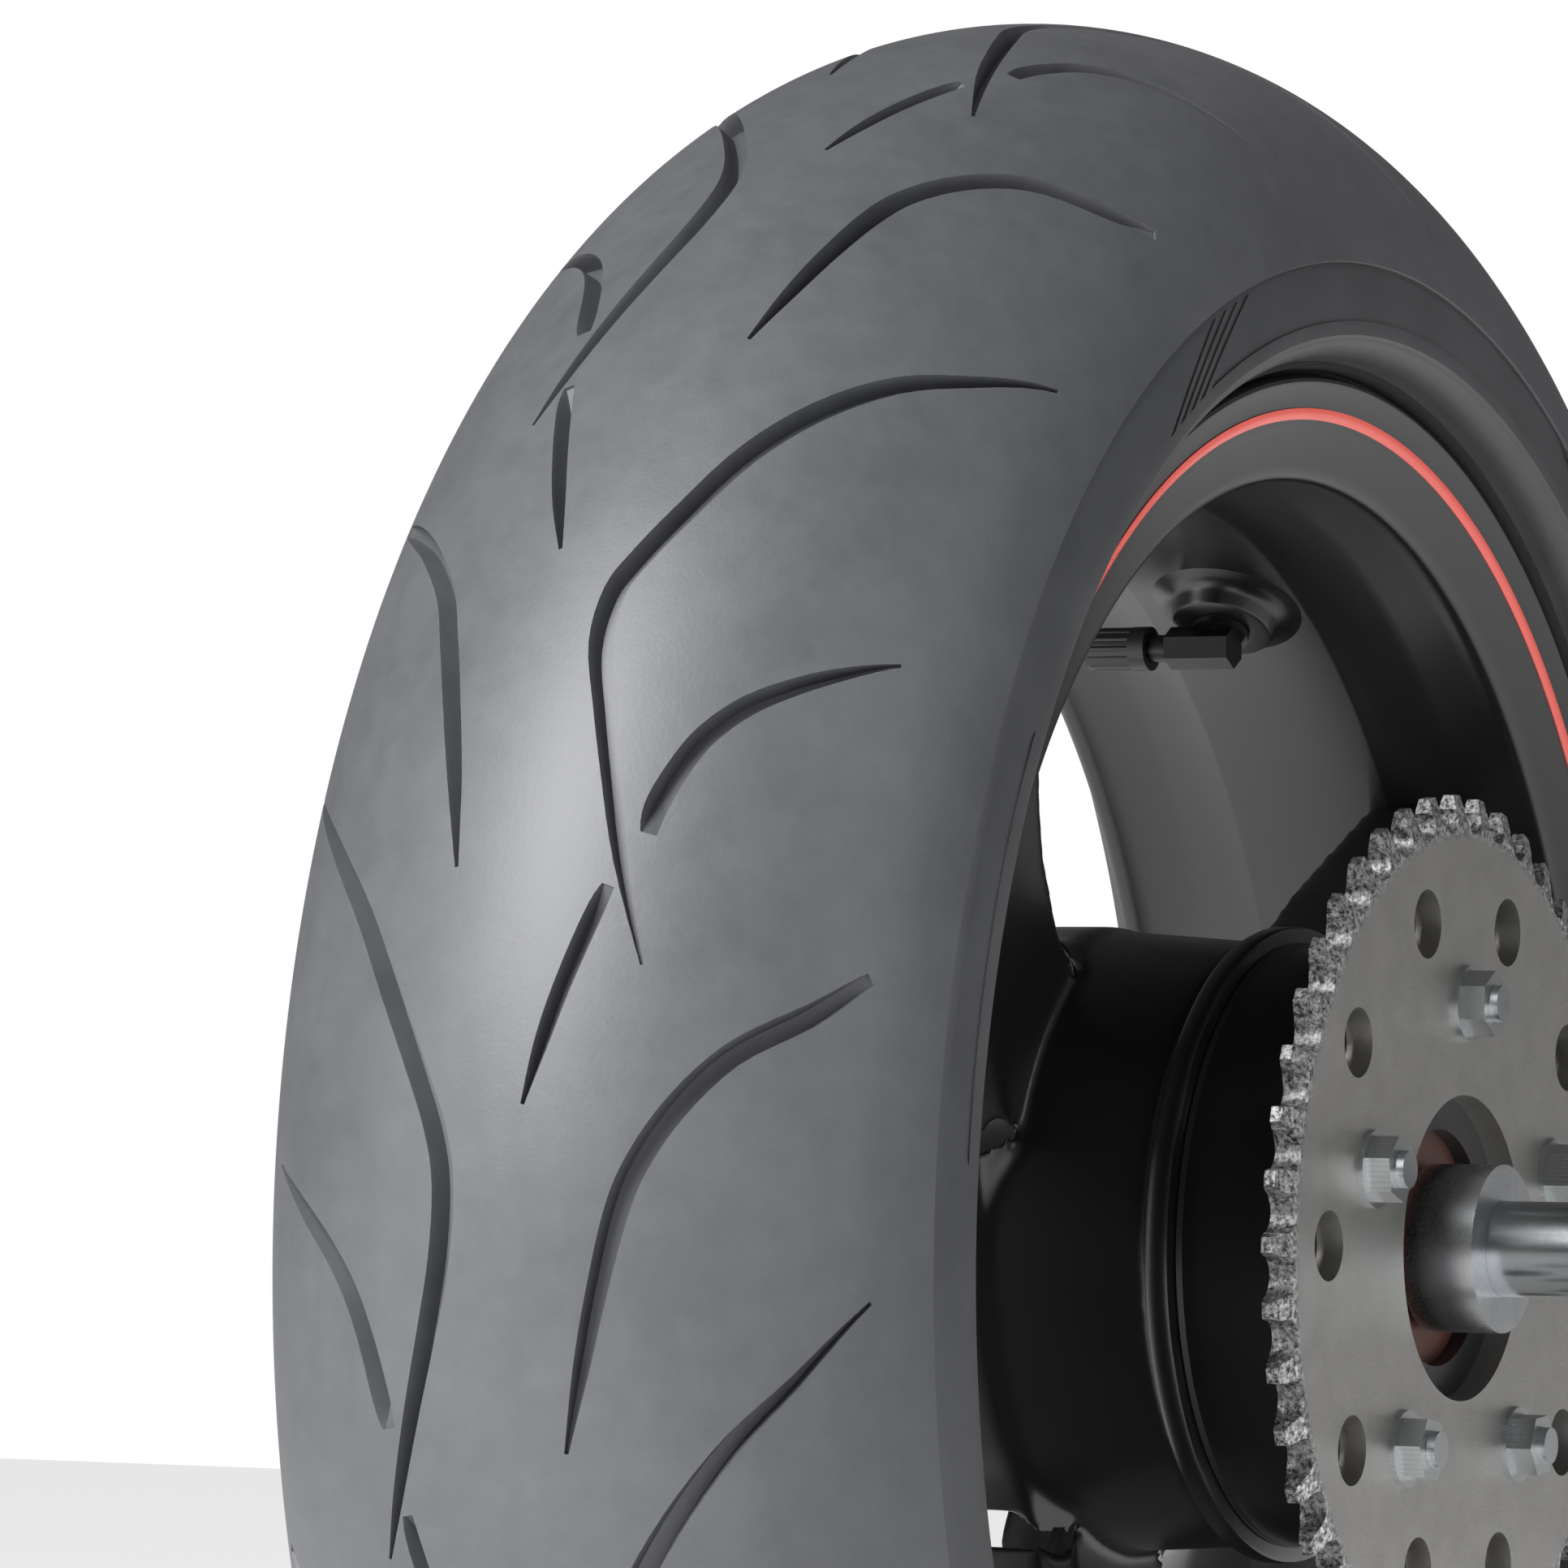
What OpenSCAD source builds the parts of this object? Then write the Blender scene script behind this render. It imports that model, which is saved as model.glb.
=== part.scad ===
// Rear motorcycle wheel: a 180/60-17 radial tyre, cut into its real layers,
// on a three-spoke cast wheel with its bearings, cushion drive, sprocket and axle.
// The wheel turns about the Y axis; -Y is the sprocket side and +Z is up.

/* [Tyre] */
// Radius over the tread
tyre_r = 325; // [318:1:332]
// Half of the section width
tyre_half = 90; // [84:1:92]
// Height from the widest point of the section to the crown
crown_h = 83.35; // [80:0.05:86]
// Rubber over the belt at the crown
tread_thick = 8; // [6:0.5:9]
// Depth of the tread grooves
groove_deep = 5; // [3:0.5:6]
// Repeats of the tread pattern round the tyre
pitches = 7; // [5:1:9]

/* [Rim] */
// Radius of the bead seat, half of the 433.8 mm rim diameter
seat_r = 216.9; // [216.5:0.1:217.2]
// Inside half width of a 5.50 inch rim
rim_half = 69.85; // [69:0.05:71]
// Radius of the flange lip
lip_r = 229.5; // [228:0.5:231]
// Outside half width over the two lips
lip_y = 77; // [75:0.5:79]
// Inner radius of the drop centre
well_r = 200.4; // [199:0.1:201]

/* [Spokes] */
// Number of spokes
spokes = 3; // [3]
// Angle of the first spoke from +X towards +Z
spoke_angle = 22; // [0:1:120]
// Half width of a spoke along its straight part
spoke_half = 33; // [28:1:36]
// Radius of the corner between a spoke and the drum
spoke_fillet = 40; // [24:1:48]
// Radius at which the openings start, outside the drum
window_in = 84; // [82:1:90]

/* [Hub] */
// Outer radius of the cushion-drive drum at its mouth
drum_r = 79.4; // [76:0.2:82]
// Radius of the raised ring at the mouth
ring_r = 84; // [82:0.5:86]
// Inner radius of the drum
drum_bore = 74; // [70:0.5:75]

/* [Axle] */
// Axle radius
axle_r = 12.5; // [10:0.5:14]
// Radius of the disc bolt circle
disc_pcr = 50; // [46:1:52]
// Number of disc bolts
disc_bolts = 5; // [4:1:6]

/* [Sprocket] */
// Number of teeth
teeth = 45; // [40:1:48]
// Chain pitch
chain_pitch = 15.875; // [15.875]
// Chain roller diameter
roller_d = 10.16; // [10.16]
// Sprocket thickness
sprocket_t = 7.2; // [5.8:0.1:7.3]

/* [Hidden] */
$fn = 96;

// Section of the tyre: centre of the crown ellipse and its layers
waist_r = tyre_r - crown_h;
edge_t = 78;
belt_t = 72;
under = [tyre_half - 5.5, crown_h - tread_thick];
ply_out = [under[0] - 1, under[1] - 1.35];
ply_in = [ply_out[0] - 1.8, ply_out[1] - 1.8];
liner_in = [ply_in[0] - 1.5, ply_in[1] - 1.5];

// Sprocket
pitch_r = chain_pitch / (2 * sin(180 / teeth));
tip_r = pitch_r + 4.8;
sprocket_y = -111;

// Hub, from the sprocket side to the disc side
ring_y = -68;
drum_y = -61;
floor_y = -24;
disc_y = 62;
carrier_face = sprocket_y + sprocket_t / 2;
left_bearing = [-40, -25];
right_bearing = [44, 59];
carrier_bearing = [-97, -80];
race_r = [12.5, 26];
carrier_race_r = [12.5, 31];
dampers = 5;
fit_gap = 0.03;

// Valve
valve_angle = 62.5;
valve_y = -2;
valve_r = 186.5;
boss_face = 193;
hole_r = 4.25;

function ellipse_pt(ab, t) = [waist_r + ab[1] * cos(t), ab[0] * sin(t)];
function arc_pts(ab, t0, t1, n) = [for (i = [0 : n]) ellipse_pt(ab, t0 + (t1 - t0) * i / n)];
function mirrored(pts) = [for (p = pts) [p[0], -p[1]]];
function reversed(pts) = [for (i = [len(pts) - 1 : -1 : 0]) pts[i]];
function unit(v) = v / norm(v);

// Corner of a polygon rounded to radius r, as a few points of the arc
function corner(a, b, c, r) =
    let (u = unit(a - b), v = unit(c - b), half = acos(u * v) / 2, m = unit(u + v))
    let (centre = b + m * r / sin(half), from = b + u * r / tan(half), to = b + v * r / tan(half))
    let (p = from - centre, q = to - centre)
    let (turn = (p[0] * q[1] - p[1] * q[0] > 0 ? 1 : -1) * acos(unit(p) * unit(q)))
    [for (i = [0 : 8]) let (s = turn * i / 8)
        centre + [p[0] * cos(s) - p[1] * sin(s), p[0] * sin(s) + p[1] * cos(s)]];
function rounded(pts, radii) = [for (i = [0 : len(pts) - 1])
    let (n = len(pts))
    each (radii[i] > 0
        ? corner(pts[(i + n - 1) % n], pts[i], pts[(i + 1) % n], radii[i])
        : [pts[i]])];

// A solid of revolution about the Y axis from [radius, y] points
module turned(pts) rotate([-90, 0, 0]) rotate_extrude($fn = 180) polygon(pts);
// A tube about the Y axis
module ring(ro, ri, y0, y1) turned([[ri, y0], [ro, y0], [ro, y1], [ri, y1]]);
// A plan shape in X and Z given a thickness along Y
module slab(y0, y1) translate([0, y1, 0]) rotate([90, 0, 0]) linear_extrude(y1 - y0) children();
module around(n, first = 0) for (i = [0 : n - 1]) rotate([0, -first - i * 360 / n, 0]) children();
module rod(r, y0, y1) slab(y0, y1) circle(r);
module hex(across, y0, y1) slab(y0, y1) circle(across / sqrt(3), $fn = 6);

// ---------------------------------------------------------------- tyre

// One straight groove between two places given as [degrees, distance from the centre]
module groove(from, to, wide) {
    r = tyre_r - 2;
    a = (from[0] + to[0]) / 2;
    y = (from[1] + to[1]) / 2;
    t = asin(y / tyre_half);
    run = (to[0] - from[0]) * PI / 180 * (tyre_r - crown_h * (1 - cos(t)));
    rise = (asin(to[1] / tyre_half) - asin(from[1] / tyre_half)) * PI / 180 * tyre_half;
    surface = ellipse_pt([tyre_half, crown_h], t);
    rotate([0, -a, 0]) translate([surface[0], y, 0]) rotate([0, 0, t])
        rotate([atan2(run, rise), 0, 0])
            translate([-groove_deep, -norm([run, rise]) / 2, -wide / 2])
                cube([groove_deep + 12, norm([run, rise]), wide]);
}

module groove_set() {
    groove([150.5, -15], [139, -52], 5);
    groove([151.5, -14], [166, -34], 5);
    groove([173, -50], [187, -26], 5);
    groove([154, -66], [161, -37], 5);
    groove([167, -25], [174, -13], 4);
}

module tread() color("#2b2c2e") difference() {
    turned(concat(arc_pts([tyre_half, crown_h], -edge_t, edge_t, 26),
        [for (t = [edge_t]) ellipse_pt(ply_out, t)],
        arc_pts(ply_out, belt_t, belt_t, 1),
        arc_pts(under, belt_t, -belt_t, 24),
        [ellipse_pt(ply_out, -belt_t), ellipse_pt(ply_out, -edge_t)]));
    for (i = [0 : pitches - 1]) rotate([0, i * 360 / pitches, 0]) {
        groove_set();
        rotate([0, -180 / pitches, 0]) mirror([0, 1, 0]) groove_set();
    }
}

module belt() color("#8a6b3d")
    turned(concat(arc_pts(under, -belt_t, belt_t, 24), arc_pts(ply_out, belt_t, -belt_t, 24)));

// Lower part of the ply: outside and inside of the half section, towards the bead
foot_out = [[237.5, 80], [234, 75.5], [232, 72.2], [227.2, 68.1], [219.6, 68.1], [218.5, 67], [218.5, 57]];
foot_in = [[220, 56.5], [226, 58.5], [232, 65.5], [237, 74]];
liner_foot = [[218.6, 55.6], [219.6, 55], [226.8, 57], [233.3, 64.7], [238.3, 73.3]];
filler = [[226.3, 60.2], [226.3, 66.8], [231.5, 70.6], [236.2, 77.2], [231.8, 67.2]];
wire = [220.3, 226.2, 60.2, 66.4];

module half_shapes() {
    polygon(filler);
    translate([wire[0], wire[2]]) square([wire[1] - wire[0], wire[3] - wire[2]]);
}

module carcass_ply() color("#3a3530")
    rotate([-90, 0, 0]) rotate_extrude($fn = 180) difference() {
        polygon(concat(arc_pts(ply_out, -90, 90, 30), foot_out, foot_in,
            arc_pts(ply_in, 90, -90, 30), reversed(mirrored(foot_in)), reversed(mirrored(foot_out))));
        half_shapes();
        mirror([0, 1, 0]) half_shapes();
    }

module inner_liner() color("#26282a")
    turned(concat(arc_pts(ply_in, -90, 90, 30), reversed(foot_in), liner_foot,
        arc_pts(liner_in, 90, -90, 30), reversed(mirrored(liner_foot)), mirrored(foot_in)));

sidewall_half = concat(arc_pts([tyre_half, crown_h], edge_t, 90, 4),
    [[236.5, 87.6], [234.2, 84], [233.4, 79.5], [233.1, 77.6], [232, 72.2], [234, 75.5], [237.5, 80]],
    arc_pts(ply_out, 90, edge_t, 2));
chafer_half = [[217, 54], [217, 66], [219.2, 69.5], [226.5, 69.5], [230.8, 73.2], [231.6, 78],
    [233.1, 77.6], [232, 72.2], [227.2, 68.1], [219.6, 68.1], [218.5, 67], [218.5, 54]];

module sidewall_left() color("#35373a") turned(mirrored(sidewall_half));
module sidewall_right() color("#35373a") turned(sidewall_half);
module bead_wire_left() color("#a98a4e") ring(wire[1], wire[0], -wire[3], -wire[2]);
module bead_wire_right() color("#a98a4e") ring(wire[1], wire[0], wire[2], wire[3]);
module bead_filler_left() color("#1d1e20") turned(mirrored(filler));
module bead_filler_right() color("#1d1e20") turned(filler);
module chafer_left() color("#2e2f31") turned(mirrored(chafer_half));
module chafer_right() color("#2e2f31") turned(chafer_half);

// ---------------------------------------------------------------- wheel

rim_out = [[205, 0], [205, 22], [207, 30], [209, 42], [215.5, 50], [seat_r - 0.1, 52], [seat_r, 66.5],
    [219, rim_half], [226, rim_half], [lip_r - 0.8, 72], [lip_r, 74], [lip_r - 1.5, lip_y]];
rim_in = [[214, 72.5], [204.5, 69.8], [202, 69], [201.8, 66], [203.5, 60], [204.5, 45],
    [201.5, 27], [well_r, 24.5]];
// Section of the three spokes: near face, then the far face
web_section = [[77, -19.4], [206, -45.4], [203.5, -18], [150, -6], [110, 3], [77, 8]];

// Half of the opening between two spokes, its middle along +X
half_step = 180 / spokes;
function beside(along, off) = [along * cos(half_step) + off * sin(half_step),
    along * sin(half_step) - off * cos(half_step)];
fillet_off = spoke_half + spoke_fillet;
fillet_along = sqrt(pow(window_in + spoke_fillet, 2) - pow(fillet_off, 2));
fillet_mid = beside(fillet_along, fillet_off);
fillet_turn = atan2(fillet_mid[1], fillet_mid[0]);
window_half = concat(
    [for (i = [1 : 7]) window_in * [cos(fillet_turn * i / 8), sin(fillet_turn * i / 8)]],
    [for (i = [0 : 6]) let (a = 180 + fillet_turn + (half_step - 90 - fillet_turn) * i / 6)
        fillet_mid + spoke_fillet * [cos(a), sin(a)]],
    [beside(124, spoke_half + 1), beside(154, spoke_half + 12), beside(205, spoke_half + 27),
        beside(300, spoke_half + 27)]);
module window() polygon(concat([[window_in, 0]], window_half, [[300, 0]],
    reversed(mirrored(window_half))));

// Hollow in the back of a spoke, and the notches in the drum's wall either side of its root
module channel() polygon(rounded([[108, -18], [150, -24], [188, -36], [188, 36], [150, 24], [108, 18]],
    [8, 0, 8, 8, 0, 8]));
module notch(side) translate([60, 0, 0]) rotate([0, 90, 0]) linear_extrude(32)
    polygon([for (p = [[13.5, 14], [13.5, -9], [1, -20.8], [-2.2, -21.3], [-5.2, -19.8],
        [-13.2, -9], [-13.2, 14]]) [side * p[0], p[1]]]);

module at_valve() rotate([0, -valve_angle, 0]) translate([0, valve_y, 0]) children();

module cast_wheel() color("#141518") difference() {
    union() {
        turned(concat(reversed(mirrored(rim_out)), rim_out, rim_in, reversed(mirrored(rim_in))));
        difference() {
            turned(web_section);
            slab(-70, 30) for (i = [0 : spokes - 1])
                rotate(spoke_angle + (i + 0.5) * 360 / spokes) window();
            slab(-18, 30) for (i = [0 : spokes - 1]) rotate(spoke_angle + i * 360 / spokes) channel();
        }
        // drum, raised ring, hub tube and disc flange
        turned([[axle_r + 2, floor_y - 18], [34, floor_y - 18], [34, floor_y], [drum_bore, floor_y],
            [drum_bore, ring_y], [ring_r - 1, ring_y], [ring_r, ring_y + 1], [ring_r, drum_y - 1],
            [ring_r - 1, drum_y], [drum_r, drum_y], [83.3, -9], [80, 6], [74, 8], [68, -8],
            [48, -14], [38, -4], [33, 20], [32, 42], [60, 54], [60, disc_y], [axle_r + 2, disc_y]]);
        around(dampers) translate([33, floor_y - 32, -3]) cube([drum_bore - 32, 33, 6]);
        at_valve() rotate([0, 90, 0]) translate([0, 0, boss_face]) cylinder(r = 14, h = 203 - boss_face);
    }
    rod(race_r[1] + fit_gap, floor_y - 40, left_bearing[1]);
    rod(race_r[1] + fit_gap, right_bearing[0], disc_y + 1);
    rod(18, -60, 60);
    for (side = [-1, 1]) around(spokes, spoke_angle + 18 * side) notch(side);
    around(disc_bolts) translate([disc_pcr, 0, 0]) rod(3.4, disc_y - 11, disc_y + 1);
    at_valve() rotate([0, 90, 0]) cylinder(r = hole_r, h = 240);
}

module stripe() turned([[217.8, 73.75], [217.8, 74.05], [220.8, 75.05], [220.8, 74.75]]);
module rim_stripe_left() color("#c8322b") mirror([0, 1, 0]) stripe();
module rim_stripe_right() color("#c8322b") stripe();

// ---------------------------------------------------------------- valve

module valve_body() color("#1c1d1f") at_valve() difference() {
    union() {
        rotate([0, 90, 0]) translate([0, 0, boss_face - 2.6]) cylinder(r = 8, h = 1.5);
        rotate([0, 90, 0]) translate([0, 0, valve_r]) cylinder(r = 4, h = 210 - valve_r);
        translate([valve_r, 0, 0]) rotate([0, 30, 0]) hex(10.4, -5.2, 14);
        translate([valve_r, 0, 0]) rod(3.85, 0, 31);
    }
    translate([valve_r, 0, 0]) rod(2.6, 22, 32);
    translate([valve_r, 0, 0]) rod(1.5, -2, 23);
    rotate([0, 90, 0]) translate([0, 0, valve_r]) cylinder(r = 1.2, h = 30);
}

module valve_seal() color("#202020") at_valve() rotate([0, 90, 0]) translate([0, 0, boss_face - 1]) difference() {
    cylinder(r = 7.5, h = 0.9);
    translate([0, 0, -1]) cylinder(r = 4.05, h = 4);
}

// The nut is on the tyre's side of the rim
module valve_nut() color("#3a3c3f") at_valve() rotate([0, 90, 0]) translate([0, 0, 205.1]) difference() {
    cylinder(r = 7, h = 3.4, $fn = 6);
    translate([0, 0, -1]) cylinder(r = 4.03, h = 6);
}

module valve_pin() color("#b08d45") at_valve() translate([valve_r, 0, 0]) {
    rod(1.0, 10, 30.4);
    rod(2.2, 26, 27.2);
}

module valve_cap() color("#101113") at_valve() translate([valve_r, 0, 0]) difference() {
    union() {
        rod(5.6, 20, 38.5);
        rod(6.2, 20, 25);
        around(12) translate([5.25, 0, 0]) rod(0.8, 24, 37.5);
    }
    rod(3.95, 19, 34);
}

// ---------------------------------------------------------------- bearings

// Ball bearing pieces between radii [inner, outer] and faces [low, high]
function mid_r(rr) = (rr[0] + rr[1]) / 2;
function ball_r(rr) = (rr[1] - rr[0]) * 0.29;
module race_groove(rr, yy) rotate([-90, 0, 0]) rotate_extrude($fn = 96)
    translate([mid_r(rr), (yy[0] + yy[1]) / 2]) circle(ball_r(rr) + 0.06);
module outer_race(rr, yy) color("#b9bcc0") difference() {
    ring(rr[1], mid_r(rr) + ball_r(rr) * 0.72, yy[0], yy[1]);
    race_groove(rr, yy);
}
module inner_race(rr, yy) color("#b9bcc0") difference() {
    ring(mid_r(rr) - ball_r(rr) * 0.72, rr[0] + fit_gap, yy[0], yy[1]);
    race_groove(rr, yy);
}
module balls(rr, yy, n) color("#d5d8db")
    around(n) translate([mid_r(rr), (yy[0] + yy[1]) / 2, 0]) sphere(r = ball_r(rr), $fn = 48);
module cage(rr, yy, n) color("#8d8f92") difference() {
    ring(mid_r(rr) + 1.3, mid_r(rr) - 1.3, yy[0] + 2, yy[1] - 2);
    around(n) translate([mid_r(rr) - 5, (yy[0] + yy[1]) / 2, 0]) rotate([0, 90, 0])
        cylinder(r = ball_r(rr) + 0.15, h = 10, $fn = 48);
}
module seal(ro, ri, y0, y1) color("#4a2a20")
    turned([[ri + 1, y0], [ro, y0], [ro, y1], [ri + 1, y1], [ri + 0.05, (y0 + y1) / 2]]);

module outer_race_left() outer_race(race_r, left_bearing);
module inner_race_left() inner_race(race_r, left_bearing);
module ball_set_left() balls(race_r, left_bearing, 9);
module ball_cage_left() cage(race_r, left_bearing, 9);
module outer_race_right() outer_race(race_r, right_bearing);
module inner_race_right() inner_race(race_r, right_bearing);
module ball_set_right() balls(race_r, right_bearing, 9);
module ball_cage_right() cage(race_r, right_bearing, 9);
module carrier_outer_race() outer_race(carrier_race_r, carrier_bearing);
module carrier_inner_race() inner_race(carrier_race_r, carrier_bearing);
module carrier_ball_set() balls(carrier_race_r, carrier_bearing, 8);
module carrier_ball_cage() cage(carrier_race_r, carrier_bearing, 8);
module oil_seal_right() seal(race_r[1], 17, 59.2, disc_y);
module carrier_seal() seal(carrier_race_r[1], 17, -103, -97.2);

// ---------------------------------------------------------------- cushion drive

// A pair of rubber blocks sits in each bay, either side of the carrier's paddle
module damper_block(a0, a1) intersection() {
    ring(drum_bore - 0.5, 37, floor_y - 30, floor_y - 1);
    slab(floor_y - 40, floor_y) polygon([[0, 0], 100 * [cos(a0), sin(a0)],
        100 * [cos((a0 + a1) / 2), sin((a0 + a1) / 2)], 100 * [cos(a1), sin(a1)]]);
}
module cush_dampers() color("#232425") around(dampers) {
    damper_block(5.5, 29);
    damper_block(43, 66.5);
}

carrier_back = -64;
paddle_half = 4;
module sprocket_carrier() color("#17181a") difference() {
    union() {
        turned([[33, carrier_back], [drum_bore - 1, carrier_back], [drum_bore - 1, ring_y - 0.5], [drum_r + 0.4, ring_y - 0.5],
            [drum_r, ring_y - 2], [drum_r - 1, -98], [drum_r - 3, carrier_face], [20, carrier_face], [20, -78], [33, -78]]);
        around(dampers, 36) translate([39, carrier_back - 1, -paddle_half])
            cube([drum_bore - 41, floor_y - 4 - carrier_back, 2 * paddle_half]);
    }
    rod(carrier_race_r[1] + fit_gap, -110, -80);
    rod(21, -110, -50);
    around(dampers, 18) translate([64, 0, 0]) rod(4.9, -109, -90);
}

module carrier_collar() color("#9a9da1") ring(16.8, axle_r + fit_gap, -80, -40);
module spacer_tube() color("#a4a7ab") ring(16.8, axle_r + fit_gap, -25, 44);

// ---------------------------------------------------------------- sprocket

// One tooth: both flanks are arcs round the neighbouring rollers, cut off by the tip circle
module sprocket_blank() difference() {
    circle(tip_r, $fn = 180);
    for (i = [0 : teeth - 1]) rotate(i * 360 / teeth) {
        translate([pitch_r, 0]) circle(roller_d / 2 + 0.1, $fn = 24);
        polygon([[pitch_r + 1, -roller_d / 2 - 0.1], [pitch_r + 1, roller_d / 2 + 0.1],
            [tip_r + 2, roller_d / 2 + 1.9], [tip_r + 2, -roller_d / 2 - 1.9]]);
    }
}
module sprocket() color("#5c5e61") difference() {
    intersection() {
        slab(sprocket_y - sprocket_t / 2, sprocket_y + sprocket_t / 2) sprocket_blank();
        turned([[0, sprocket_y - sprocket_t / 2], [tip_r - 8, sprocket_y - sprocket_t / 2],
            [tip_r, sprocket_y - 1.5], [tip_r, sprocket_y + 1.5],
            [tip_r - 8, sprocket_y + sprocket_t / 2], [0, sprocket_y + sprocket_t / 2]]);
    }
    rod(40, -120, -100);
    around(dampers, 18) translate([64, 0, 0]) rod(5.1, -120, -100);
    around(10, 0) translate([88, 0, 0]) rod(9, -120, -100);
}
module sprocket_studs() color("#8f9296") around(dampers, 18) translate([64, 0, 0]) rod(4.8, -125, -91);
module sprocket_nuts() color("#8f9296") around(dampers, 18) translate([64, 0, 0]) difference() {
    union() {
        hex(15, -122.6, sprocket_y - sprocket_t / 2 - 1.5);
        rod(10, sprocket_y - sprocket_t / 2 - 1.5, sprocket_y - sprocket_t / 2);
    }
    rod(4.85, -130, -100);
}

// ---------------------------------------------------------------- axle

module collar_left() color("#9a9da1") {
    ring(16.9, axle_r + fit_gap, -106, -97);
    ring(22, axle_r + fit_gap, -126, -106);
}
module collar_right() color("#9a9da1") {
    ring(16.9, axle_r + fit_gap, 59, 66);
    ring(22, axle_r + fit_gap, 66, 92);
}
module axle() color("#a9acb0") difference() {
    union() {
        rod(axle_r, -160, 150);
        hex(30, -172, -160);
        rod(19, -161, -158);
    }
    rod(6, -175, 151);
}
module axle_washer() color("#b4b7ba") ring(21, axle_r + fit_gap, 126, 129);
module axle_nut() color("#b4b7ba") difference() {
    union() {
        hex(32, 130.5, 145);
        rod(20, 129, 132);
    }
    rod(axle_r + fit_gap, 120, 160);
}

tread();
belt();
carcass_ply();
inner_liner();
sidewall_left();
sidewall_right();
bead_wire_left();
bead_wire_right();
bead_filler_left();
bead_filler_right();
chafer_left();
chafer_right();
cast_wheel();
rim_stripe_left();
rim_stripe_right();
valve_body();
valve_seal();
valve_nut();
valve_pin();
valve_cap();
outer_race_left();
outer_race_right();
inner_race_left();
inner_race_right();
ball_set_left();
ball_set_right();
ball_cage_left();
ball_cage_right();
oil_seal_right();
spacer_tube();
cush_dampers();
sprocket_carrier();
carrier_outer_race();
carrier_inner_race();
carrier_ball_set();
carrier_ball_cage();
carrier_seal();
carrier_collar();
sprocket();
sprocket_studs();
sprocket_nuts();
collar_left();
collar_right();
axle();
axle_washer();
axle_nut();
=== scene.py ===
# A rear motorcycle wheel and its tyre, dressed from the inside of the tyre out to the axle.
# The wheel turns about the Y axis, -Y is the sprocket side, +Z is up, and every size is in metres.
import math
import bpy
from mathutils import Matrix, Vector


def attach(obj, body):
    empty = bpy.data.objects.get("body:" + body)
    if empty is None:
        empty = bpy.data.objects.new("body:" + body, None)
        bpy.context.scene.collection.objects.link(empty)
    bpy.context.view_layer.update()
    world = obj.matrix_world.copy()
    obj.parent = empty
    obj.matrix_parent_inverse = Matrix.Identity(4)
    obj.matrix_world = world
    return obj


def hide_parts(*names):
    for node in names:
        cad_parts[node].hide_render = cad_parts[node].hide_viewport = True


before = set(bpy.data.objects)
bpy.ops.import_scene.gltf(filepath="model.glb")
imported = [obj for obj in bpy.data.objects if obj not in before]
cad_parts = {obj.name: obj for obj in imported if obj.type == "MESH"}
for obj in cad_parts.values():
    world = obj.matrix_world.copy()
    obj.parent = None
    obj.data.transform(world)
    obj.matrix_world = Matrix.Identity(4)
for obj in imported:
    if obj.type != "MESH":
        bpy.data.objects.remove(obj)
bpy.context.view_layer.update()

# ---------------------------------------------------------------- camera
# A long lens on the sprocket side, close to axle height, that looks up at the tread
# past the near edge of the tyre. The picture is framed on the upper left of the wheel.
turned, raised, leaned = math.radians(-62.59), math.radians(-3.11), math.radians(1.15)
away = Vector((math.sin(turned) * math.cos(raised), -math.cos(turned) * math.cos(raised), math.sin(raised)))
across = (-away).cross(Vector((0, 0, 1))).normalized()
upright = across.cross(-away)
tilt_x = across * math.cos(leaned) + upright * math.sin(leaned)
tilt_y = upright * math.cos(leaned) - across * math.sin(leaned)
bpy.ops.object.camera_add()
camera = bpy.context.object
camera.matrix_world = Matrix((
    (tilt_x.x, tilt_y.x, away.x, 0), (tilt_x.y, tilt_y.y, away.y, 0), (tilt_x.z, tilt_y.z, away.z, 0), (0, 0, 0, 1)))
camera.location = away * 2.166 + across * -0.0784 + upright * 0.1207
camera.data.lens = 185.45
camera.data.sensor_width = 36
camera.data.clip_end = 60
bpy.context.scene.camera = camera

# ---------------------------------------------------------------- studio
# A white studio: a pale painted floor under a plain white background, lit by large soft
# boxes. The floor is matt emulsion, so it takes a faint mottle and no reflection.


def linear(code):
    channels = [int(code[i:i + 2], 16) / 255 for i in (1, 3, 5)]
    return [c / 12.92 if c <= 0.04045 else ((c + 0.055) / 1.055) ** 2.4 for c in channels] + [1]


def node(nodes, kind, settings=None, links=None):
    made = nodes.nodes.new(kind)
    for name, value in (settings or {}).items():
        if hasattr(made, name):
            setattr(made, name, value)
        else:
            made.inputs[name].default_value = value
    for name, socket in (links or {}).items():
        nodes.links.new(socket, made.inputs[name])
    return made


def begin(name):
    material = bpy.data.materials.new(name)
    material.use_nodes = True
    tree = material.node_tree
    return material, tree, tree.nodes["Principled BSDF"]


def white_emulsion():
    # White emulsion on plaster: roller marks of about 3 mm that barely show
    material, tree, shader = begin("white_emulsion")
    place = node(tree, "ShaderNodeTexCoord")
    marks = node(tree, "ShaderNodeTexNoise", {"Scale": 330.0, "Detail": 2.0}, {"Vector": place.outputs["Object"]})
    shade = node(tree, "ShaderNodeMix", {"data_type": "RGBA"}, {"Factor": marks.outputs["Fac"]})
    shade.inputs["A"].default_value = linear("#F4F4F4")
    shade.inputs["B"].default_value = linear("#FBFBFB")
    tree.links.new(shade.outputs["Result"], shader.inputs["Base Color"])
    shader.inputs["Roughness"].default_value = 0.9
    shader.inputs["Specular IOR Level"].default_value = 0.1
    shader.inputs["Emission Color"].default_value = linear("#FFFFFF")
    shader.inputs["Emission Strength"].default_value = 0.6
    return material


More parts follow.
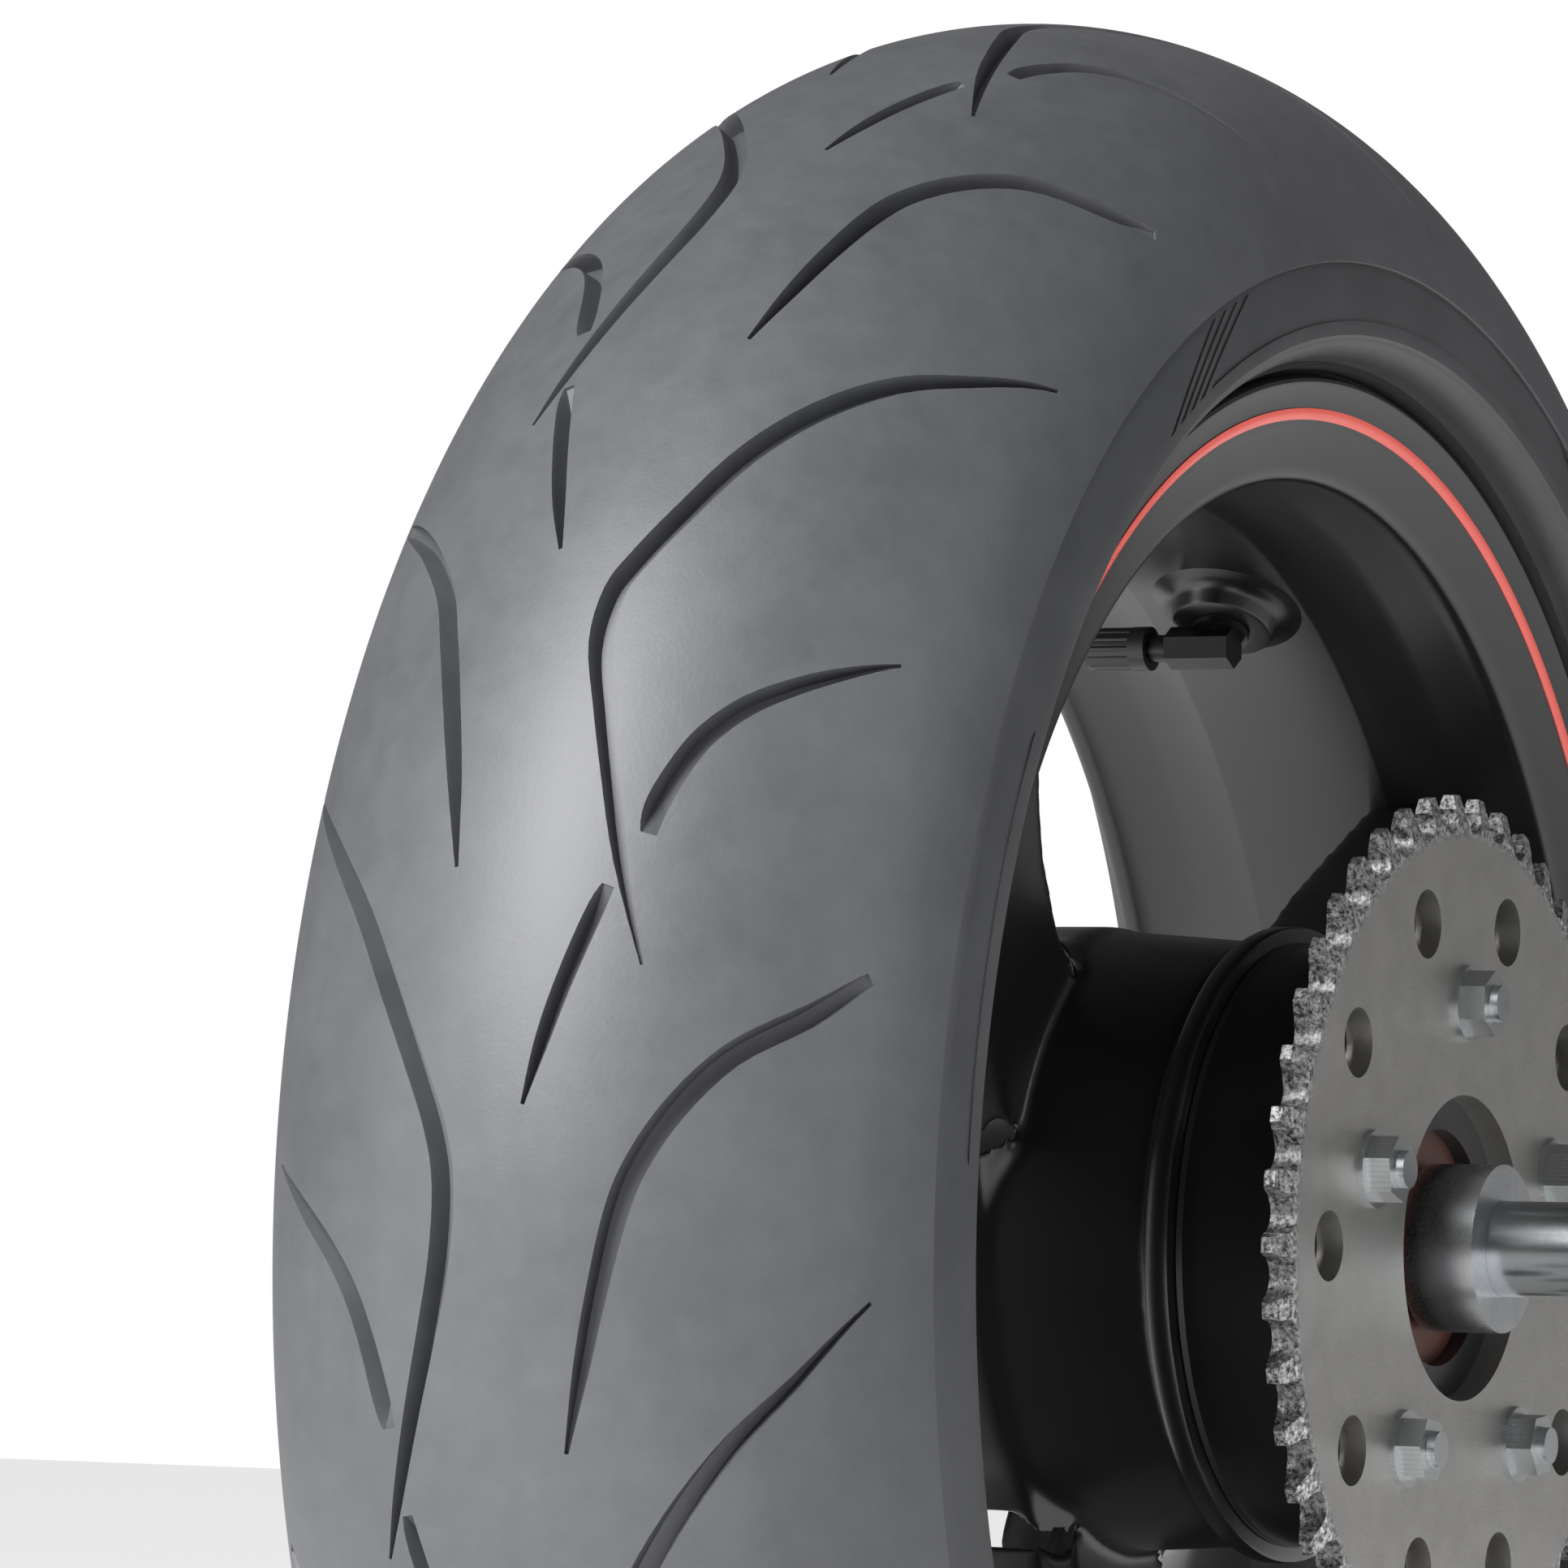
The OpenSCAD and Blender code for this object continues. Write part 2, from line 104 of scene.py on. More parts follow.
bpy.ops.object.select_all(action="DESELECT")
bpy.ops.mesh.primitive_plane_add(size=14, location=(0, 0, -0.3255))
floor = bpy.context.object
floor.name = "floor"
bpy.ops.object.transform_apply(location=True, rotation=True, scale=True)
floor.data.materials.append(white_emulsion())

world = bpy.data.worlds.new("studio")
bpy.context.scene.world = world
world.use_nodes = True
backdrop = world.node_tree.nodes["Background"]
backdrop.inputs["Color"].default_value = (1, 1, 1, 1)
light_path = world.node_tree.nodes.new("ShaderNodeLightPath")
level = world.node_tree.nodes.new("ShaderNodeMapRange")
level.inputs["To Min"].default_value = 0.2
level.inputs["To Max"].default_value = 1.0
world.node_tree.links.new(light_path.outputs["Is Camera Ray"], level.inputs["Value"])
world.node_tree.links.new(level.outputs["Result"], backdrop.inputs["Strength"])
bpy.context.scene.view_settings.view_transform = "Standard"


def soft_box(name, place, aim, width, height, watts):
    bpy.ops.object.light_add(type="AREA", location=place)
    lamp = bpy.context.object
    lamp.name = name
    lamp.data.shape = "RECTANGLE"
    lamp.data.size = width
    lamp.data.size_y = height
    lamp.data.energy = watts
    lamp.rotation_euler = (Vector(aim) - Vector(place)).to_track_quat("-Z", "Y").to_euler()
    return lamp


soft_box("key_box", (-1.57, 0.32, 1.03), (-0.28, 0, 0.1), 0.7, 1.2, 75)
soft_box("front_box", (-0.3, -2.4, 1.0), (0, 0, 0), 1.4, 1.4, 18)
soft_box("left_box", (-1.7, 1.6, 0.2), (0, 0, 0), 0.7, 1.4, 12)

# ---------------------------------------------------------------- tread
# The road band of a sport-touring tyre: silica-and-carbon-black rubber, moulded with curved
# grooves that taper to points. Each groove has one upright wall and one eased wall.


def tread_rubber():
    # New moulded tread: satin, with a faint wax bloom in patches and a fine pebble from the mould
    material, tree, shader = begin("moulded_tread_rubber")
    place = node(tree, "ShaderNodeTexCoord")
    patches = node(tree, "ShaderNodeTexNoise", {"Scale": 16.0, "Detail": 4.0, "Roughness": 0.6},
                   {"Vector": place.outputs["Object"]})
    bloom = node(tree, "ShaderNodeTexNoise", {"Scale": 95.0, "Detail": 5.0, "Roughness": 0.7},
                 {"Vector": place.outputs["Object"]})
    both = node(tree, "ShaderNodeMix", {"data_type": "FLOAT", "Factor": 0.45},
                {"A": patches.outputs["Fac"], "B": bloom.outputs["Fac"]})
    colour = node(tree, "ShaderNodeValToRGB", {}, {"Fac": both.outputs["Result"]})
    colour.color_ramp.elements[0].position = 0.35
    colour.color_ramp.elements[0].color = linear("#3A3B3E")
    colour.color_ramp.elements[1].position = 0.65
    colour.color_ramp.elements[1].color = linear("#46474A")
    tree.links.new(colour.outputs["Color"], shader.inputs["Base Color"])
    gloss = node(tree, "ShaderNodeMapRange", {"To Min": 0.44, "To Max": 0.56}, {"Value": both.outputs["Result"]})
    tree.links.new(gloss.outputs["Result"], shader.inputs["Roughness"])
    # pebble of about 1 mm, drawn coarser than the real 0.2 mm so that it shows
    pebble = node(tree, "ShaderNodeTexNoise", {"Scale": 900.0, "Detail": 2.0}, {"Vector": place.outputs["Object"]})
    relief = node(tree, "ShaderNodeBump", {"Strength": 0.12, "Distance": 0.0003}, {"Height": pebble.outputs["Fac"]})
    tree.links.new(relief.outputs["Normal"], shader.inputs["Normal"])
    shader.inputs["Specular IOR Level"].default_value = 0.5
    return material


waist_radius, crown_height, half_width = 0.24165, 0.08335, 0.090
tread_edge = math.radians(78)


def spun(name, section, steps=256, smooth=40):
    # A closed section of (radius, y) corners swept round the axle, as a moulded or turned ring is
    bpy.ops.object.select_all(action="DESELECT")
    bpy.ops.mesh.primitive_circle_add(vertices=len(section), radius=0.01, fill_type="NOTHING")
    ring = bpy.context.object
    ring.name = name
    for corner, (radius, y) in zip(ring.data.vertices, section):
        corner.co = (radius, y, 0)
    bpy.ops.object.mode_set(mode="EDIT")
    bpy.ops.mesh.select_all(action="SELECT")
    bpy.ops.mesh.spin(steps=steps, angle=2 * math.pi, center=(0, 0, 0), axis=(0, 1, 0))
    bpy.ops.mesh.select_all(action="SELECT")
    bpy.ops.mesh.remove_doubles(threshold=0.000004)
    bpy.ops.mesh.normals_make_consistent(inside=False)
    bpy.ops.object.mode_set(mode="OBJECT")
    bpy.ops.object.shade_smooth_by_angle(angle=math.radians(smooth))
    return ring


def crown(angle, lift=0.0):
    # A point of the tyre's outer section: angle 0 at the crown, 90 degrees at the widest place
    return (waist_radius + (crown_height + lift) * math.cos(angle), (half_width + lift) * math.sin(angle))


outer = [crown(-tread_edge + 2 * tread_edge * i / 72) for i in range(73)]
inner = [(waist_radius + 0.0752 * math.cos(a), 0.0843 * math.sin(a))
         for a in [tread_edge - 2 * tread_edge * i / 24 for i in range(25)]]
tread = spun("tread_visual", outer + inner, steps=336)

# Centre lines of the grooves as (degrees round the tyre, metres across it, width, depth).
# The four on the sprocket side come first, then the four on the disc side.
right_grooves = [
    [(131.7, -0.0811, 0.0012, 0.3), (135.1, -0.0698, 0.0034, 0.9), (137.9, -0.0571, 0.0050, 1), (141.2, -0.0442, 0.0058, 1),
     (144.3, -0.0340, 0.0060, 1), (147.5, -0.0256, 0.0060, 1), (150.3, -0.0178, 0.0060, 1), (152.0, -0.0140, 0.0062, 1),
     (154.5, -0.0138, 0.0062, 1), (157.5, -0.0186, 0.0058, 1), (160.4, -0.0233, 0.0052, 1), (164.3, -0.0293, 0.0040, 0.9),
     (168.7, -0.0369, 0.0010, 0.3)],
    [(167.6, -0.0785, 0.0040, 0.15), (169.9, -0.0703, 0.0056, 0.9), (172.2, -0.0567, 0.0058, 1), (174.7, -0.0464, 0.0060, 1),
     (177.0, -0.0394, 0.0060, 1), (179.0, -0.0354, 0.0060, 1), (182.4, -0.0312, 0.0052, 1), (185.8, -0.0273, 0.0040, 0.9),
     (189.2, -0.0232, 0.0012, 0.3)],
    [(152.0, -0.0745, 0.0010, 0.2), (153.6, -0.0659, 0.0032, 0.9), (155.0, -0.0579, 0.0044, 1), (156.5, -0.0496, 0.0052, 1),
     (158.2, -0.0427, 0.0056, 1), (159.7, -0.0388, 0.0058, 1), (161.6, -0.0352, 0.0060, 0.9), (163.0, -0.0338, 0.0052, 0.1)],
    [(165.4, -0.0268, 0.0040, 0.15), (166.8, -0.0245, 0.0046, 1), (170.0, -0.0191, 0.0044, 1), (172.4, -0.0155, 0.0036, 0.9),
     (174.8, -0.0122, 0.0012, 0.3)],
]
left_grooves = [
    [(158.4, 0.0790, 0.0012, 0.3), (161.0, 0.0660, 0.0036, 0.9), (163.5, 0.0538, 0.0050, 1), (166.6, 0.0398, 0.0058, 1),
     (170.0, 0.0279, 0.0060, 1), (173.1, 0.0180, 0.0060, 1), (175.8, 0.0107, 0.0062, 1), (178.2, 0.0076, 0.0062, 1),
     (181.2, 0.0083, 0.0060, 1), (184.2, 0.0117, 0.0056, 1), (188.0, 0.0174, 0.0046, 1), (191.4, 0.0227, 0.0032, 0.9),
     (194.0, 0.0268, 0.0010, 0.3)],
    [(144.0, 0.0720, 0.0040, 0.15), (146.2, 0.0600, 0.0054, 0.9), (148.3, 0.0489, 0.0058, 1), (151.2, 0.0369, 0.0060, 1),
     (154.0, 0.0302, 0.0060, 1), (156.9, 0.0244, 0.0056, 1), (160.8, 0.0177, 0.0044, 1), (164.8, 0.0124, 0.0012, 0.3)],
    [(177.2, 0.0690, 0.0010, 0.2), (179.3, 0.0545, 0.0044, 1), (181.0, 0.0438, 0.0052, 1), (182.7, 0.0361, 0.0056, 1),
     (184.7, 0.0306, 0.0058, 1), (187.0, 0.0264, 0.0060, 0.9), (188.4, 0.0246, 0.0052, 0.1)],
    [(140.6, 0.0204, 0.0040, 0.15), (142.0, 0.0184, 0.0046, 1), (145.0, 0.0133, 0.0044, 1), (147.6, 0.0085, 0.0036, 0.9),
     (150.0, 0.0038, 0.0012, 0.3)],
]
groove_depth = 0.0052


def on_tyre(degrees, y, height):
    # The place at that angle and distance across, raised by height along the tyre's own normal
    a = math.asin(max(-1.0, min(1.0, y / half_width)))
    radius = waist_radius + crown_height * math.cos(a)
    normal = Vector((math.cos(a) / crown_height, math.sin(a) / half_width)).normalized()
    radius, y = radius + normal.x * height, y + normal.y * height
    turn = math.radians(degrees)
    return Vector((radius * math.cos(turn), y, radius * math.sin(turn)))


def eased(points, steps):
    # A smooth run of stations through the given ones
    out = []
    for i in range(len(points) - 1):
        p = [points[max(i - 1, 0)], points[i], points[i + 1], points[min(i + 2, len(points) - 1)]]
        for k in range(steps):
            t = k / steps
            out.append(tuple(0.5 * (2 * p[1][c] + (p[2][c] - p[0][c]) * t
                                    + (2 * p[0][c] - 5 * p[1][c] + 4 * p[2][c] - p[3][c]) * t * t
                                    + (3 * p[1][c] - p[0][c] - 3 * p[2][c] + p[3][c]) * t ** 3) for c in range(4)))
    return out + [points[-1]]


def groove_cutter(points, shift, slant):
    # A strip along the groove, thickened downwards; its floor is narrower and set to one side
    stations = eased(points, 4)
    bpy.ops.object.select_all(action="DESELECT")
    bpy.ops.mesh.primitive_grid_add(x_subdivisions=len(stations) - 1, y_subdivisions=1, size=1)
    strip = bpy.context.object
    bpy.ops.object.mode_set(mode="EDIT")
    bpy.ops.mesh.select_all(action="SELECT")
    bpy.ops.mesh.extrude_region_move(TRANSFORM_OT_translate={"value": (0, 0, -1)})
    bpy.ops.object.mode_set(mode="OBJECT")
    last = len(stations) - 1
    for corner in strip.data.vertices:
        k = round((corner.co.x + 0.5) * last)
        degrees, y, width, depth = stations[k]
        before, after = stations[max(k - 1, 0)], stations[min(k + 1, last)]
        here = on_tyre(degrees, y, 0)
        along = (on_tyre(after[0], after[1], 0) - on_tyre(before[0], before[1], 0)).normalized()
        up = (on_tyre(degrees, y, 0.01) - here).normalized()
        side = along.cross(up).normalized() * slant
        over = 1 if corner.co.y > 0 else -1
        if corner.co.z > -0.5:
            rise, reach = 0.003, width * (0.5 + (0.16 if over > 0 else 0.0))
        else:
            rise, reach = -groove_depth * depth, width * (0.2 if over > 0 else 0.5)
        place = here + up * rise + side * over * reach
        corner.co = Matrix.Rotation(-math.radians(shift), 3, "Y") @ place
    bpy.ops.object.mode_set(mode="EDIT")
    bpy.ops.mesh.select_all(action="SELECT")
    bpy.ops.mesh.normals_make_consistent(inside=False)
    bpy.ops.object.mode_set(mode="OBJECT")
    return strip


cutters = []
for turn in range(7):
    for points in right_grooves:
        cutters.append(groove_cutter(points, turn * 360 / 7, 1))
    for points in left_grooves:
        cutters.append(groove_cutter(points, turn * 360 / 7, 1))
bpy.ops.object.select_all(action="DESELECT")
for cutter in cutters:
    cutter.select_set(True)
bpy.context.view_layer.objects.active = cutters[0]
bpy.ops.object.join()
moulds = bpy.context.object
bpy.ops.object.select_all(action="DESELECT")
bpy.context.view_layer.objects.active = tread
tread.select_set(True)
cut = tread.modifiers.new("grooves", "BOOLEAN")
cut.operation = "DIFFERENCE"
cut.solver = "MANIFOLD"
cut.object = moulds
bpy.ops.object.modifier_apply(modifier="grooves")
bpy.data.objects.remove(moulds)
bpy.ops.object.shade_smooth_by_angle(angle=math.radians(28))
tread.data.materials.clear()
tread.data.materials.append(tread_rubber())
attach(tread, "wheel")
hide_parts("tread")

# ---------------------------------------------------------------- sidewalls
# The flexing wall below the tread edge, in softer rubber. The mould leaves a step at the
# tread edge, two long recessed panels with ribbed ends, and fine rings just above the rim.


def sidewall_rubber():
    # Moulded sidewall: darker than the tread, with fine rings 1.4 mm apart cut in the mould
    material, tree, shader = begin("moulded_sidewall_rubber")
    place = node(tree, "ShaderNodeTexCoord")
    patches = node(tree, "ShaderNodeTexNoise", {"Scale": 40.0, "Detail": 4.0}, {"Vector": place.outputs["Object"]})
    colour = node(tree, "ShaderNodeValToRGB", {}, {"Fac": patches.outputs["Fac"]})
    colour.color_ramp.elements[0].position = 0.3
    colour.color_ramp.elements[0].color = linear("#2E2F31")
    colour.color_ramp.elements[1].position = 0.7
    colour.color_ramp.elements[1].color = linear("#37383A")
    tree.links.new(colour.outputs["Color"], shader.inputs["Base Color"])
    gloss = node(tree, "ShaderNodeMapRange", {"To Min": 0.4, "To Max": 0.52}, {"Value": patches.outputs["Fac"]})
    tree.links.new(gloss.outputs["Result"], shader.inputs["Roughness"])
    grain = node(tree, "ShaderNodeTexNoise", {"Scale": 1100.0, "Detail": 2.0}, {"Vector": place.outputs["Object"]})
    relief = node(tree, "ShaderNodeBump", {"Strength": 0.15, "Distance": 0.0003}, {"Height": grain.outputs["Fac"]})
    tree.links.new(relief.outputs["Normal"], shader.inputs["Normal"])
    return material


wall_finish = sidewall_rubber()
# Outer line from the tread edge to the rim, then the inner line back, on the +Y side
wall_section = [
    (0.2590, 0.0880), (0.2585, 0.0875), (0.2579, 0.0879), (0.2560, 0.0885), (0.2530, 0.0890), (0.2490, 0.0895),
    (0.2450, 0.0898), (0.2417, 0.0899), (0.2395, 0.0896), (0.2389, 0.0890), (0.2383, 0.0888), (0.2378, 0.0882),
    (0.2372, 0.0879), (0.2365, 0.0872), (0.2354, 0.0858), (0.2344, 0.0838), (0.2338, 0.0810), (0.2335, 0.0790),
    (0.2331, 0.0776), (0.2320, 0.0722), (0.2340, 0.0755), (0.2375, 0.0800), (0.2417, 0.0835), (0.2500, 0.0832),
    (0.2584, 0.0822)]


def panel_tool(first, last, low, high, depth, first_lean, last_lean):
    # A curved bar as long as the panel, that presses it into the wall
    bpy.ops.object.select_all(action="DESELECT")
    count = max(2, round((last - first) * 1.0))
    bpy.ops.mesh.primitive_grid_add(x_subdivisions=count, y_subdivisions=6, size=1)
    bar = bpy.context.object
    bpy.ops.object.mode_set(mode="EDIT")
    bpy.ops.mesh.select_all(action="SELECT")
    bpy.ops.mesh.extrude_region_move(TRANSFORM_OT_translate={"value": (0, 0, -1)})
    bpy.ops.object.mode_set(mode="OBJECT")
    for corner in bar.data.vertices:
        radius = low + (high - low) * (corner.co.y + 0.5)
        along = corner.co.x + 0.5
        degrees = first + (last - first) * along
        degrees += (corner.co.y + 0.5) * (first_lean + (last_lean - first_lean) * along)
        y = half_width * math.sqrt(max(0.0, 1 - ((radius - waist_radius) / crown_height) ** 2))
        y += 0.004 if corner.co.z > -0.5 else -depth
        corner.co = (radius * math.cos(math.radians(degrees)), y, radius * math.sin(math.radians(degrees)))
    bpy.ops.object.mode_set(mode="EDIT")
    bpy.ops.mesh.select_all(action="SELECT")
    bpy.ops.mesh.normals_make_consistent(inside=False)
    bpy.ops.object.mode_set(mode="OBJECT")
    return bar


for side, name in ((-1, "left"), (1, "right")):
    wall = spun("sidewall_%s_visual" % name, wall_section, steps=360, smooth=35)
    tools = []
    for start in (60, 240):
        tools.append(panel_tool(start - 8, start + 58, 0.2432, 0.2575, 0.0007, 9, -9))
        for k in range(4):
            tools.append(panel_tool(start + 59.0 + k * 1.6, start + 59.8 + k * 1.6, 0.2432, 0.2575, 0.0007, -9, -9))
            tools.append(panel_tool(start - 9.8 - k * 1.6, start - 9.0 - k * 1.6, 0.2432, 0.2575, 0.0007, 9, 9))
    for start in (150, 330):
        tools.append(panel_tool(start, start + 26, 0.2452, 0.2560, 0.0005, 5, -5))
    bpy.ops.object.select_all(action="DESELECT")
    for tool in tools:
        tool.select_set(True)
    bpy.context.view_layer.objects.active = tools[0]
    bpy.ops.object.join()
    press = bpy.context.object
    bpy.ops.object.select_all(action="DESELECT")
    bpy.context.view_layer.objects.active = wall
    wall.select_set(True)
    stamp = wall.modifiers.new("panels", "BOOLEAN")
    stamp.operation = "DIFFERENCE"
    stamp.solver = "MANIFOLD"
    stamp.object = press
    bpy.ops.object.modifier_apply(modifier="panels")
    bpy.data.objects.remove(press)
    if side < 0:
        wall.data.transform(Matrix.Scale(-1, 4, (0, 1, 0)))
        bpy.ops.object.mode_set(mode="EDIT")
        bpy.ops.mesh.select_all(action="SELECT")
        bpy.ops.mesh.normals_make_consistent(inside=False)
        bpy.ops.object.mode_set(mode="OBJECT")
    bpy.ops.object.shade_smooth_by_angle(angle=math.radians(28))
    wall.data.materials.clear()
    wall.data.materials.append(wall_finish)
    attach(wall, "wheel")
    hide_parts("sidewall_" + name)

# ---------------------------------------------------------------- inside the tyre
# Under the tread: two plies of brass-plated steel cord, one textile ply that wraps both
# beads, a butyl liner that holds the air, hard fillers and the bead wires. All stay as built.


def corded_rubber(name, cord, gum, spacing):
    # Cord coated in rubber: stripes run across the tyre at the cord's spacing, in soft matt rubber
    material, tree, shader = begin(name)
    place = node(tree, "ShaderNodeTexCoord")
    stripes = node(tree, "ShaderNodeTexWave", {"Scale": 0.314 / spacing, "Distortion": 0.4, "Detail": 1.0},
                   {"Vector": place.outputs["Object"]})
    colour = node(tree, "ShaderNodeMix", {"data_type": "RGBA"}, {"Factor": stripes.outputs["Fac"]})
    colour.inputs["A"].default_value = linear(gum)
    colour.inputs["B"].default_value = linear(cord)
    tree.links.new(colour.outputs["Result"], shader.inputs["Base Color"])
    relief = node(tree, "ShaderNodeBump", {"Strength": 0.3, "Distance": 0.0003}, {"Height": stripes.outputs["Fac"]})
    tree.links.new(relief.outputs["Normal"], shader.inputs["Normal"])
    shader.inputs["Roughness"].default_value = 0.7
    return material


def soft_rubber(name, dark, light, roughness, grain):
    # Moulded rubber: two close shades in patches and a fine grain, no shine
    material, tree, shader = begin(name)
    place = node(tree, "ShaderNodeTexCoord")
    patches = node(tree, "ShaderNodeTexNoise", {"Scale": grain, "Detail": 4.0}, {"Vector": place.outputs["Object"]})
    colour = node(tree, "ShaderNodeMix", {"data_type": "RGBA"}, {"Factor": patches.outputs["Fac"]})
    colour.inputs["A"].default_value = linear(dark)
    colour.inputs["B"].default_value = linear(light)
    tree.links.new(colour.outputs["Result"], shader.inputs["Base Color"])
    relief = node(tree, "ShaderNodeBump", {"Strength": 0.2, "Distance": 0.0003}, {"Height": patches.outputs["Fac"]})
    tree.links.new(relief.outputs["Normal"], shader.inputs["Normal"])
    shader.inputs["Roughness"].default_value = roughness
    return material


def finish(material, *names):
    for name in names:
        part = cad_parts[name]
        part.data.materials.clear()
        part.data.materials.append(material)


finish(corded_rubber("steel_cord_in_rubber", "#8A6B3D", "#1B1B1C", 0.002), "belt")
finish(corded_rubber("textile_cord_in_rubber", "#4A4238", "#1E1D1C", 0.0015), "carcass_ply")
finish(soft_rubber("butyl_liner", "#191A1B", "#232425", 0.6, 60.0), "inner_liner", "valve_seal")
finish(soft_rubber("hard_bead_rubber", "#151516", "#1C1C1D", 0.65, 90.0), "bead_filler_left", "bead_filler_right")
finish(soft_rubber("chafer_rubber", "#1A1B1C", "#222324", 0.5, 120.0), "chafer_left", "chafer_right")
finish(soft_rubber("cushion_rubber", "#161617", "#1F1F20", 0.75, 150.0), "cush_dampers")
finish(soft_rubber("brown_nitrile_rubber", "#4A2A1E", "#57332A", 0.45, 200.0), "oil_seal_right", "carrier_seal")


def worked_metal(name, dark, light, roughness, streaks, metallic=1.0):
    # Turned, drawn or ground metal: fine tool rings round the axle, with slightly uneven shine
    material, tree, shader = begin(name)
    place = node(tree, "ShaderNodeTexCoord")
    rings = node(tree, "ShaderNodeTexWave", {"wave_type": "RINGS", "rings_direction": "Y", "Scale": streaks,
                                             "Distortion": 2.0, "Detail": 3.0, "Detail Scale": 4.0},
                 {"Vector": place.outputs["Object"]})
    cloud = node(tree, "ShaderNodeTexNoise", {"Scale": 70.0, "Detail": 5.0}, {"Vector": place.outputs["Object"]})
    both = node(tree, "ShaderNodeMix", {"data_type": "FLOAT", "Factor": 0.6},
                {"A": rings.outputs["Fac"], "B": cloud.outputs["Fac"]})
    colour = node(tree, "ShaderNodeMix", {"data_type": "RGBA"}, {"Factor": both.outputs["Result"]})
    colour.inputs["A"].default_value = linear(dark)
    colour.inputs["B"].default_value = linear(light)
    tree.links.new(colour.outputs["Result"], shader.inputs["Base Color"])
    gloss = node(tree, "ShaderNodeMapRange", {"To Min": roughness - 0.06, "To Max": roughness + 0.08},
                 {"Value": both.outputs["Result"]})
    tree.links.new(gloss.outputs["Result"], shader.inputs["Roughness"])
    shader.inputs["Metallic"].default_value = metallic
    return material


finish(worked_metal("brass_plated_wire", "#8F7444", "#B89A60", 0.35, 160.0), "bead_wire_left", "bead_wire_right")

# ---------------------------------------------------------------- rim
# The 5.50 x 17 rim, cast in aluminium with the spokes, turned where the tyre sits and
# sprayed satin black. Its lips are rolled over and its mouth turns in behind each flange.


def black_enamel():
    # Baked black enamel on cast aluminium: deep satin black, faint orange peel about 2.5 mm across
    material, tree, shader = begin("satin_black_enamel")
    place = node(tree, "ShaderNodeTexCoord")
    peel = node(tree, "ShaderNodeTexNoise", {"Scale": 400.0, "Detail": 2.0}, {"Vector": place.outputs["Object"]})
    cloud = node(tree, "ShaderNodeTexNoise", {"Scale": 22.0, "Detail": 4.0}, {"Vector": place.outputs["Object"]})
    colour = node(tree, "ShaderNodeMix", {"data_type": "RGBA"}, {"Factor": cloud.outputs["Fac"]})
    colour.inputs["A"].default_value = linear("#0E0E0F")
    colour.inputs["B"].default_value = linear("#161617")
    tree.links.new(colour.outputs["Result"], shader.inputs["Base Color"])
    gloss = node(tree, "ShaderNodeMapRange", {"To Min": 0.26, "To Max": 0.34}, {"Value": cloud.outputs["Fac"]})
    tree.links.new(gloss.outputs["Result"], shader.inputs["Roughness"])
    relief = node(tree, "ShaderNodeBump", {"Strength": 0.06, "Distance": 0.0004}, {"Height": peel.outputs["Fac"]})
    tree.links.new(relief.outputs["Normal"], shader.inputs["Normal"])
    return material


enamel = black_enamel()
rim_half = [
    (0.2050, 0.0000), (0.2050, 0.0215), (0.2052, 0.0235), (0.2070, 0.0300), (0.2090, 0.0420), (0.2150, 0.0495),
    (0.2163, 0.0508),
    (0.2168, 0.0520), (0.2169, 0.0660), (0.2174, 0.0684), (0.2188, 0.0697), (0.2205, 0.0699), (0.2258, 0.0699),
    (0.2274, 0.0703), (0.2287, 0.0716), (0.2294, 0.0732), (0.2295, 0.0744), (0.2292, 0.0757), (0.2286, 0.0766),
    (0.2277, 0.0769), (0.2268, 0.0766), (0.2262, 0.0762), (0.2210, 0.0748), (0.2150, 0.0728), (0.2141, 0.0724),
    (0.2060, 0.0702), (0.2042, 0.0696), (0.2028, 0.0690), (0.2020, 0.0680), (0.2018, 0.0665), (0.2025, 0.0640),
    (0.2034, 0.0600), (0.2044, 0.0470), (0.2044, 0.0430), (0.2030, 0.0350), (0.2015, 0.0270), (0.2006, 0.0250),
    (0.2004, 0.0238), (0.2004, 0.0000)]
rim_line = [(r, y) for r, y in rim_half[:-1] if y > 0]
rim = spun("rim_visual", [(0.2050, 0.0)] + rim_line + [(0.2004, 0.0)]
           + [(r, -y) for r, y in reversed(rim_line)], steps=288, smooth=35)

# the hole for the valve's stem
valve_angle = math.radians(62.5)
outward = Vector((math.cos(valve_angle), 0, math.sin(valve_angle)))


def from_outward(length, y=-0.002):
    return outward * length + Vector((0, y, 0))


bpy.ops.object.select_all(action="DESELECT")
bpy.ops.mesh.primitive_cylinder_add(vertices=32, radius=0.00425, depth=0.03, location=from_outward(0.203),
                                    rotation=outward.to_track_quat("Z", "Y").to_euler())
drill = bpy.context.object
bpy.ops.object.select_all(action="DESELECT")
bpy.context.view_layer.objects.active = rim
rim.select_set(True)
hole = rim.modifiers.new("valve_hole", "BOOLEAN")
hole.operation = "DIFFERENCE"
hole.solver = "MANIFOLD"
hole.object = drill
bpy.ops.object.modifier_apply(modifier="valve_hole")
bpy.data.objects.remove(drill)
bpy.ops.object.shade_smooth_by_angle(angle=math.radians(35))
rim.data.materials.clear()
rim.data.materials.append(enamel)
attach(rim, "wheel")
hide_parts("cast_wheel")

# ---------------------------------------------------------------- spokes and drum
# Three wide spokes and the cushion drum, one casting with the rim. Each spoke has a flat crest
# with a ridge down each side, deep fillets into the drum, and a channel in its back.
spoke_first, spoke_count = 22.0, 3
pitch = math.pi / spoke_count
web_near = [(0.076, -0.0222), (0.091, -0.0227), (0.120, -0.0290), (0.160, -0.0370), (0.204, -0.0450), (0.30, -0.064)]


